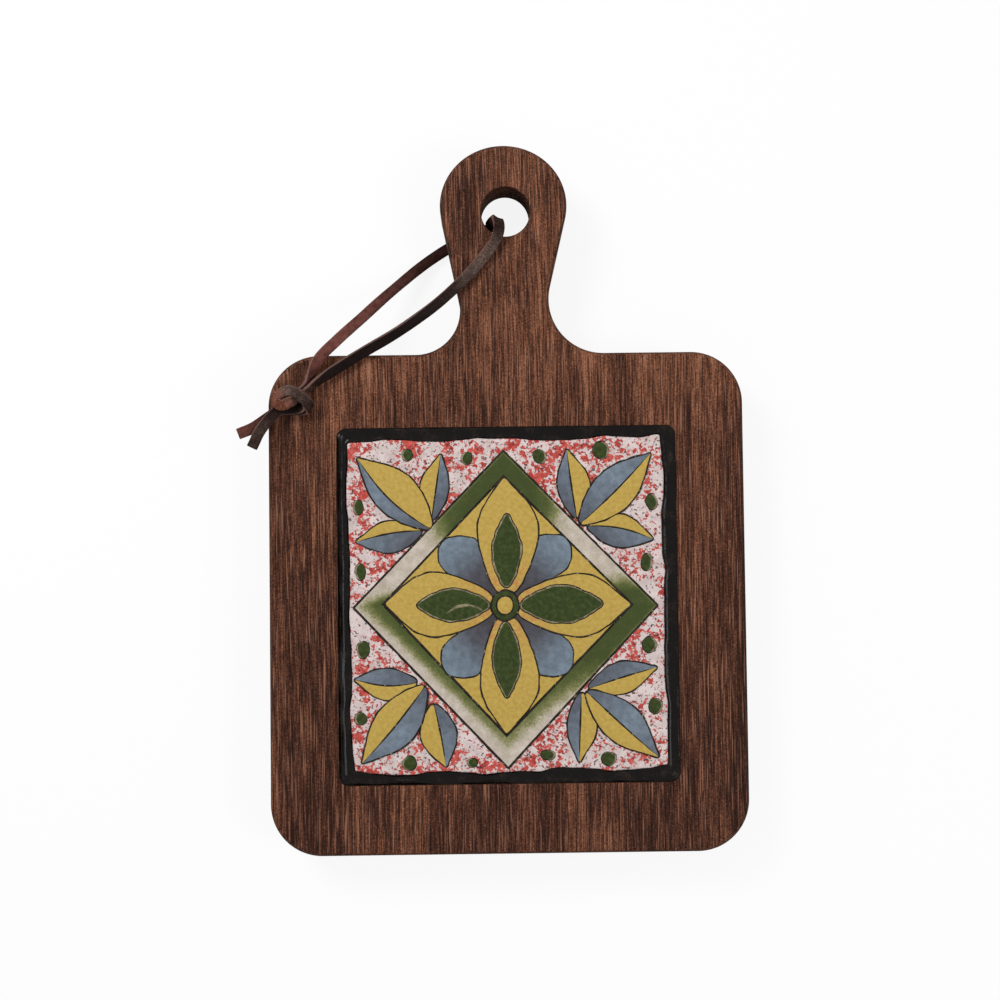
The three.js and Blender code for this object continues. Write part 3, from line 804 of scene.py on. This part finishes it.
def line_material():
    """The dark lines: thin, nearly black glaze, worn through to the pale ground here and there."""
    material, tree, sockets, colour = glaze_material(
        "tile_line", (22, 18, 15), (34, 29, 24), (58, 50, 42), 300)
    worn = cells(tree, object_place(tree), 900, 2, 0.6)
    colour = mix(tree, steps(tree, worn, 0.62, 0.69, 0, 0.55), colour, paint(160, 146, 118))
    feed(tree, sockets, Base_Color=colour)
    return material


def plain_glaze(*look):
    """A glaze of one colour all over."""
    material, tree, sockets, colour = glaze_material(*look)
    feed(tree, sockets, Base_Color=colour)
    return material


def yellow_material():
    """Ochre yellow, dusted with orange brown close to the hub."""
    material, tree, sockets, colour = glaze_material(
        "tile_yellow", (174, 144, 69), (184, 155, 78), (194, 166, 88), 800)
    near = steps(tree, from_middle(tree, 40), 0.16, 0.5, 1, 0)
    outside_hub = steps(tree, from_middle(tree, 40), 0.075, 0.09)
    dust = cells(tree, object_place(tree), 900, 2, 0.7)
    share = math(tree, "MULTIPLY", near, steps(tree, dust, 0.42, 0.62, 0, 0.75))
    colour = mix(tree, math(tree, "MULTIPLY", share, outside_hub), colour, paint(184, 120, 80))
    feed(tree, sockets, Base_Color=colour)
    return material


def blue_material():
    """Slate blue, airbrushed from a dusky dark at the base of each field to a pale tip."""
    material, tree, sockets, colour = glaze_material(
        "tile_blue", (204, 204, 204), (226, 226, 226), (250, 250, 250), 500)
    shade = ramp(tree, from_middle(tree, 70), [
        (0.08, (76, 71, 75)), (0.2, (90, 90, 98)), (0.3, (120, 133, 146)),
        (0.4, (132, 148, 162)), (0.47, (88, 89, 98)), (0.6, (112, 121, 133)),
        (0.75, (130, 144, 158)), (0.9, (112, 122, 134))])
    feed(tree, sockets, Base_Color=mix(tree, 1.0, shade, colour, "MULTIPLY"))
    return material


# the pale one is bare ground beside the lines, dusty and stained, and also the painted reflection on the
# small left petal; the green a deep bottle green
finishes = {
    "line": line_material(),
    "pale": plain_glaze("tile_pale", (78, 74, 56), (122, 114, 88), (164, 152, 124), 700),
    "yellow": yellow_material(),
    "green": plain_glaze("tile_green", (42, 53, 25), (52, 63, 30), (66, 78, 40), 800),
    "blue": blue_material(),
}
for colour, fields in pads.items():
    pad_mesh = bmesh.new()
    round_over = line_round if colour in ("line", "pale") else field_round
    for outline, height in fields:
        add_pad(pad_mesh, outline, height, round_over)
    glaze = make_piece(pad_mesh, "glaze_" + colour, 60)
    glaze.data.materials.append(finishes[colour])
    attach(glaze, "board")

# the band round the diamond is sprayed with green: how much at places along each side, at its inner
# and at its outer edge
band_spray = {
    "upper right": [(0, 1, 1), (0.1, 1, 0.9), (0.17, 0.5, 0.4), (0.24, 0.14, 0.1), (0.5, 0.1, 0.08),
                    (0.6, 0.3, 0.2), (0.7, 0.9, 0.75), (0.8, 1, 1), (1, 1, 1)],
    "upper left": [(0, 1, 1), (0.25, 1, 1), (0.4, 0.95, 0.8), (0.5, 0.4, 0.25), (0.6, 0.08, 0.06),
                   (0.86, 0.1, 0.08), (0.94, 0.5, 0.25), (1, 0.95, 0.35)],
    "lower left": [(0, 0.85, 0.3), (0.15, 0.95, 0.1), (0.4, 0.85, 0), (0.7, 0.7, -0.1), (1, 0.5, -0.1)],
    "lower right": [(0, 0.5, -0.1), (0.15, 0.6, -0.05), (0.35, 0.72, 0.15), (0.5, 0.85, 0.5),
                    (0.65, 1, 0.95), (1, 1, 1)],
}
band_steps = 60
band_width_steps = 8
band_edge = 0.05
band_rim = 0.04
band_fade = 0.6


def band_loop(share):
    """Points along the diamond, a share of the way from its inner to its outer outline."""
    points = []
    for side in range(4):
        start = diamond_inner[side].lerp(diamond_outer[side], share)
        end = diamond_inner[(side + 1) % 4].lerp(diamond_outer[(side + 1) % 4], share)
        points += [start.lerp(end, step / band_steps) for step in range(band_steps)]
    return on_tile(points)


def store(piece, name, values):
    """A value for each point of a piece, for its material to read."""
    layer = piece.data.attributes.new(name, "FLOAT", "POINT")
    layer.data.foreach_set("value", np.array(values, np.float32))


band_mesh = bmesh.new()
band_rings = []
band_green = []
band_shares = [
    band_edge + (1 - 2 * band_edge) * step / band_width_steps for step in range(band_width_steps + 1)]
band_levels = [(band_edge, -pad_root)] + [(share, field_low) for share in band_shares]
band_levels += [(1 - band_edge, -pad_root)]
for share, height in band_levels:
    rim = band_rim if share in (band_edge, 1 - band_edge) else 0
    band_rings.append(add_ring(band_mesh, band_loop(share), tile_face + height - rim))
    strength = band_fade if share > 0.9 else 1
    for side in band_spray.values():
        marks, inner_spray, outer_spray = zip(*side)
        for step in range(band_steps):
            inner = np.interp(step / band_steps, marks, inner_spray)
            outer = np.interp(step / band_steps, marks, outer_spray)
            band_green.append((inner + (outer - inner) * eased(share)) * strength)
for inner_ring, outer_ring in zip(band_rings, band_rings[1:] + band_rings[:1]):
    join_rings(band_mesh, inner_ring, outer_ring)
band = make_piece(band_mesh, "glaze_band", 60)
store(band, "spray", band_green)


def band_material():
    """Cream glaze sprayed with green, grainy where the spray thins out."""
    material, tree, sockets, colour = glaze_material(
        "tile_band", (172, 160, 146), (190, 178, 165), (206, 196, 184), 300)
    grain = cells(tree, object_place(tree), 1500, 2, 0.7)
    drifts = cells(tree, object_place(tree), 350, 2)
    share = total(tree, attribute(tree, "spray"), centred(tree, grain, 0.5), centred(tree, drifts, 0.35))
    green = ramp(tree, share, [
        (0.1, (172, 166, 138)), (0.4, (132, 130, 88)),
        (0.7, (84, 92, 50)), (1, (62, 72, 37))])
    feed(tree, sockets, Base_Color=mix(tree, steps(tree, share, 0.02, 0.5), colour, green))
    return material


band.data.materials.append(band_material())
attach(band, "board")


# Feet
# Four moulded rubber bumpers, stuck under the corners, which keep the board level over the strand
# of the lace behind its handle. The solids have their shape already, so only the material is new.
def rubber_material():
    """Matt dark rubber with a moulded skin and pale dust."""
    material, tree, sockets = new_material("foot_rubber", Specular_IOR_Level=0.3)
    tone, height = mottle(tree, 700, 0.6)
    colour = ramp(tree, tone, [
        (0.35, (34, 32, 30)), (0.55, (46, 44, 41)), (0.75, (82, 78, 72))])
    rough = steps(tree, tone, 0.3, 0.7, 0.75, 0.92)
    feed(tree, sockets, Base_Color=colour, Roughness=rough, Normal=bump(tree, height, 0.0003, 0.5))
    return material


rubber = rubber_material()
for foot in ("foot_lower_left", "foot_lower_right", "foot_upper_left", "foot_upper_right"):
    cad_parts[foot].data.materials.clear()
    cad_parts[foot].data.materials.append(rubber)


# Lace
# One flat strip of brown leather, smooth on its grain side and suede on its flesh side. It is
# looped through the hole, and both strands are tied together in an overhand knot.
lace_width = 3.4
lace_thickness = 1.5
knot_width_share = 0.98
knot_thickness_share = 0.8
knot_layers = 1.5
seat_clearance = 0.3
lace_steps = 9
lace_uneven = 0.05
hole_wear_and_painted_light = 0.2

# x, y, height over the face, the way that the grain faces, and how worn and pale the leather is, with a
# painted sheen on the grain near the hole
front_strand = [
    (-54.6, 38.7, 2.3, (0.35, -0.45, 0.8), 0), (-44.5, 44.9, 2.1, (0.3, -0.4, 0.85), 0),
    (-32.5, 51.8, 2.7, (0.38, -0.45, 0.8), 0), (-21.6, 59.6, 2.1, (0.3, -0.3, 0.9), 0.05),
    (-12.6, 67.8, 1.5, (0.2, -0.15, 0.95), 0.3), (-6.2, 74.9, 1.7, (0.3, -0.15, 0.93), 0.42),
    (-2.4, 80.2, 2.3, (0.3, -0.1, 0.95), 0.28)]
# distance from the hole's centre, direction, share of the face's height, outward and upward facing
through_hole = [
    (6.6, 250, 1.18, -0.1, 0.95), (4.7, 237, 1.18, -0.5, 0.85), (4.5, 221, 1.03, -1, 0.1),
    (5.2, 211, 0.72, -0.9, -0.35), (5.7, 206, 0.4, -1, -0.2), (6.3, 204, 0.13, -0.6, -0.8)]
# x, y, share of the face's height, facing, and wear, kept low near the handle as a painted shadow under it
back_strand = [
    (-9.5, 85.3, 0.0714, (0.1, 0.05, -1), 0), (-17.5, 81.2, 0.0714, (0, 0, -1), 0),
    (-24.5, 76.5, 0.13, (0.1, -0.1, -1), 0), (-34.9, 67, 0.434, (0.2, -0.3, -0.9), 0.35),
    (-44.5, 57.2, 0.777, (0, -0.1, -1), 0.8), (-52, 49.4, 1.063, (-0.05, 0.1, -1), 1),
    (-58, 42.9, 1.163, (-0.25, 0.35, -0.9), 0.9)]
front_tail = [(-82.8, 20.2, 2.2, (0, 0, -1), 0.8), (-78.3, 22, 2.7, (0, -0.1, -1), 0.6)]
back_tail = [(-75.3, 21.4, 5.4, (0.25, -0.2, 0.95), 0.28), (-78.5, 16.1, 2.8, (0.15, -0.1, 1), 0.24)]
# the knot, drawn tight: along the strands towards the tails, across, up, the way from the back to the
# front strand, and wear, pale where bent tight over the bulge and grey on the strap as a painted sheen
knot_middle = (-67.3, 30.55)
knot_along = Vector((-0.8, -0.6, 0))
knot_loop = [
    (-7.8, 0.2, -0.8, (0, 1, 0.2), 0.3), (-4.8, 0.5, -1.6, (0, 0.9, 0.4), 0.3),
    (-2, 0.8, -0.2, (0, 0.6, 0.8), 0.5), (0.2, 1, 1.5, (-0.3, 0.4, 0.9), 0.8),
    (2.2, 0.4, 1.4, (0.4, 0.2, 0.9), 1), (2.8, -1.1, 0.9, (0.6, -0.2, 0.8), 1),
    (1.6, -2.1, 0.5, (0.1, -0.5, 0.85), 0.9), (-0.4, -2.2, 0.9, (-0.1, -0.3, 0.9), 0.7),
    (-2.4, -1.3, 1.8, (0.1, -0.2, 0.95), 0.34), (-3.7, 1.2, 2.3, (0.3, 0, 0.95), 0.28),
    (-4.4, 4, 1.2, (0.1, 0.5, 0.8), 0.26), (-3.2, 5.6, -0.9, (-0.3, 0.9, -0.3), 0.2),
    (-0.8, 4.2, -2.2, (0, 0.3, -0.95), 0.1), (1.6, 2.3, -2.3, (0, 0, -1), 0),
    (4.2, 0.8, -1.9, (0, 0, -1), 0.1)]


def over_face(row):
    x, y, height, facing, wear_and_painted_light = row
    return Vector((x, y, board_face + height)), Vector(facing), 0, wear_and_painted_light


def by_share(row):
    x, y, share, facing, wear_and_painted_light = row
    return Vector((x, y, share * board_face)), Vector(facing), 0, wear_and_painted_light


def in_hole(row):
    radius, degrees, share, outward, upward = row
    away = Vector((cos(radians(degrees)), sin(radians(degrees))))
    spot = hole_centre + away * radius
    return Vector((*spot, share * board_face)), Vector((*(away * outward), upward)), 0, hole_wear_and_painted_light


def knot_strand(side):
    """The front strand, side 1, or the back strand, side -1, along the knot's loop."""
    up = Vector((0, 0, 1))
    across = up.cross(knot_along)
    line = [knot_along * row[0] + across * row[1] + up * row[2] for row in knot_loop]
    rest = seat_clearance + knot_layers - min(point.z for point in line)
    middle = Vector((*knot_middle, board_face + rest))
    stops = []
    for index, row in enumerate(knot_loop):
        forward = (line[min(index + 1, len(line) - 1)] - line[max(index - 1, 0)]).normalized()
        layer = knot_along * row[3][0] + across * row[3][1] + up * row[3][2]
        layer = (layer - forward * layer.dot(forward)).normalized()
        spot = middle + line[index] + layer * side * knot_layers / 2
        stops.append((spot, layer * side, 1, row[4]))
    return stops


lace_stops = [over_face(row) for row in front_tail] + knot_strand(1)[::-1]
lace_stops += [over_face(row) for row in front_strand] + [in_hole(row) for row in through_hole]
lace_stops += [by_share(row) for row in back_strand] + knot_strand(-1)
lace_stops += [over_face(row) for row in back_tail]


def smooth_point(points, spot, share):
    """A point on the smooth curve through a list of points, a share of the way past one of them."""
    first, second = points[spot], points[spot + 1]
    before = points[spot - 1] if spot > 0 else first * 2 - second
    after = points[spot + 2] if spot + 2 < len(points) else second * 2 - first
    gaps = [(b - a).length ** 0.5 for a, b in ((before, first), (first, second), (second, after))]
    start = ((first - before) / gaps[0] - (second - before) / (gaps[0] + gaps[1])
             + (second - first) / gaps[1]) * gaps[1]
    end = ((second - first) / gaps[1] - (after - first) / (gaps[1] + gaps[2])
           + (after - second) / gaps[2]) * gaps[1]
    bend = (second - first) * 3 - start * 2 - end
    twist = (first - second) * 2 + start + end
    return first + start * share + bend * share ** 2 + twist * share ** 3


lace_places = [stop[0] for stop in lace_stops]
lace_line = []
lace_facing = []
lace_squeeze = []
lace_wear_and_painted_light = []
for step in range((len(lace_stops) - 1) * lace_steps + 1):
    spot = min(step // lace_steps, len(lace_stops) - 2)
    share = step / lace_steps - spot
    before, after = lace_stops[spot], lace_stops[spot + 1]
    lace_line.append(smooth_point(lace_places, spot, share))
    lace_facing.append(before[1].normalized().lerp(after[1].normalized(), share))
    lace_squeeze.append(blend(before[2], after[2], share))
    lace_wear_and_painted_light.append(blend(before[3], after[3], share))

# the flat section: place across, place through the thickness, and which side it is on, with 1 for
# the grain, 0 for the flesh and between for the cut edges
lace_section = [
    (1, 0.25, 0.55), (0.97, 0.62, 0.7), (0.88, 0.93, 0.95), (0.5, 1.0, 1), (0, 1.0, 1), (-0.5, 1.0, 1),
    (-0.88, 0.93, 0.95), (-0.97, 0.62, 0.7), (-1, 0.25, 0.55), (-1, -0.4, 0.3), (-0.96, -0.8, 0.1),
    (-0.86, -1, 0), (0, -0.94, 0), (0.86, -1, 0), (0.96, -0.8, 0.1), (1, -0.4, 0.3)]

lace_mesh = bmesh.new()
lace_rings = []
lace_sides = []
for index, centre in enumerate(lace_line):
    forward = lace_line[min(index + 1, len(lace_line) - 1)] - lace_line[max(index - 1, 0)]
    forward.normalize()
    facing = lace_facing[index]
    facing = (facing - forward * facing.dot(forward)).normalized()
    across = forward.cross(facing)
    tight = lace_squeeze[index]
    wide = lace_width / 2 * (1 + (knot_width_share - 1) * tight)
    thick = lace_thickness / 2 * (1 + (knot_thickness_share - 1) * tight)
    ring = []
    for x, y, side in lace_section:
        uneven = 1 + lace_uneven * noise.noise(Vector((index / 7, x * 1.5, y * 1.5)))
        spot = centre + across * wide * x * uneven + facing * thick * y * uneven
        ring.append(lace_mesh.verts.new(spot * MM))
        lace_sides.append(side)
    lace_rings.append(ring)
for first, second in zip(lace_rings, lace_rings[1:]):
    join_rings(lace_mesh, first, second)
lace_mesh.faces.new(lace_rings[0])
lace_mesh.faces.new(lace_rings[-1][::-1])
lace = make_piece(lace_mesh, "lace", 50)
store(lace, "grain_side", lace_sides)
store(lace, "wear_and_painted_light", np.repeat(lace_wear_and_painted_light, len(lace_section)))


def leather_material():
    """Brown leather: a dark, waxy grain side and a dry, reddish flesh side, both paler where worn, with
    painted sheen and shadow.
    """
    material, tree, sockets = new_material("brown_leather", Specular_IOR_Level=0.06)
    side = attribute(tree, "grain_side")
    worn = attribute(tree, "wear_and_painted_light")
    tone, height = mottle(tree, 520, 0.9)
    creases = cells(tree, object_place(tree), 1400, 2, 0.6, 1.5)
    # the wear value also paints light: the grey grain near 0.42 is a painted sheen, and the dark end of the
    # flesh is a painted shadow under the handle
    grain = ramp(tree, worn, [
        (0, (35, 22, 19)), (0.2, (58, 42, 37)),
        (0.42, (132, 110, 102)), (1, (150, 92, 72))])
    flesh = ramp(tree, worn, [(0, (56, 34, 30)), (0.4, (92, 56, 50)), (1, (128, 80, 71))])
    shade = ramp(tree, tone, [
        (0.3, (170, 166, 164)), (0.55, (226, 226, 226)), (0.8, (255, 255, 255))])
    creased = mix(tree, steps(tree, creases, 0.4, 0.62), paint(176, 164, 158), paint(255, 255, 255))
    grain = mix(tree, 1.0, mix(tree, 1.0, grain, shade, "MULTIPLY"), creased, "MULTIPLY")
    flesh = mix(tree, 1.0, flesh, shade, "MULTIPLY")
    colour = mix(tree, steps(tree, side, 0.45, 0.95), flesh, grain)
    cut_edge = math(tree, "MULTIPLY", steps(tree, side, 0.1, 0.35), steps(tree, side, 0.6, 0.9, 0.55, 0))
    colour = mix(tree, cut_edge, colour, paint(132, 104, 96))
    rough = steps(tree, side, 0.4, 0.95, 0.92, 0.45)
    relief = math(tree, "ADD", height, math(tree, "MULTIPLY", creases, 0.5))
    feed(tree, sockets, Base_Color=colour, Roughness=rough, Normal=bump(tree, relief, 0.0003, 0.5))
    return material


lace.data.materials.append(leather_material())
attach(lace, "lace")
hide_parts("leather_lace")


# Floor and light
# A plain white studio table under a soft sky, with a large lamp at the upper left and a weaker
# one at the right. The table stays white to the camera and keeps part of the shadow.
floor_half = 900
floor_mesh = bmesh.new()
floor_ring = add_ring(floor_mesh, [Vector(p) * floor_half for p in ((-1, -1), (1, -1), (1, 1), (-1, 1))], 0)
floor_mesh.faces.new(floor_ring)
floor = make_piece(floor_mesh, "floor")

floor_finish = bpy.data.materials.new("studio_table")
floor_finish.use_nodes = True
floor_tree = floor_finish.node_tree
floor_tree.nodes.remove(floor_tree.nodes["Principled BSDF"])
seen = add(floor_tree, "ShaderNodeLightPath").outputs
seen_share = math(floor_tree, "MULTIPLY", seen["Is Camera Ray"], 0.88)
matt = add(floor_tree, "ShaderNodeBsdfDiffuse", {"Color": paint(245, 245, 245)})
glow = add(floor_tree, "ShaderNodeEmission", {"Strength": 1.0})
table = add(floor_tree, "ShaderNodeMixShader", {0: seen_share, 1: matt.outputs[0], 2: glow.outputs[0]})
floor_tree.links.new(table.outputs[0], floor_tree.nodes["Material Output"].inputs["Surface"])
floor.data.materials.append(floor_finish)

world = bpy.data.worlds.new("studio")
scene.world = world
world.use_nodes = True
sky_tree = world.node_tree
path = add(sky_tree, "ShaderNodeLightPath").outputs
direct = math(sky_tree, "MAXIMUM", path["Is Camera Ray"], path["Is Glossy Ray"])
direct = math(sky_tree, "MAXIMUM", direct, path["Is Transmission Ray"])
soft_sky = 0.4
sky_strength = steps(sky_tree, direct, 0, 1, soft_sky, 1.0)
sky_tree.links.new(sky_strength, sky_tree.nodes["Background"].inputs["Strength"])
sky_tree.nodes["Background"].inputs["Color"].default_value = (1, 1, 1, 1)


def add_lamp(name, place, size, power):
    """A square soft lamp that faces the middle of the board."""
    data = bpy.data.lights.new(name, "AREA")
    data.size = size * MM
    data.energy = power
    lamp = bpy.data.objects.new(name, data)
    lamp.location = Vector(place) * MM
    lamp.rotation_euler = (-Vector(place)).to_track_quat("-Z", "Y").to_euler()
    scene.collection.objects.link(lamp)


add_lamp("lamp_upper_left", (-450, 420, 620), 320, 4.5)
add_lamp("lamp_right", (560, -160, 620), 360, 2.25)
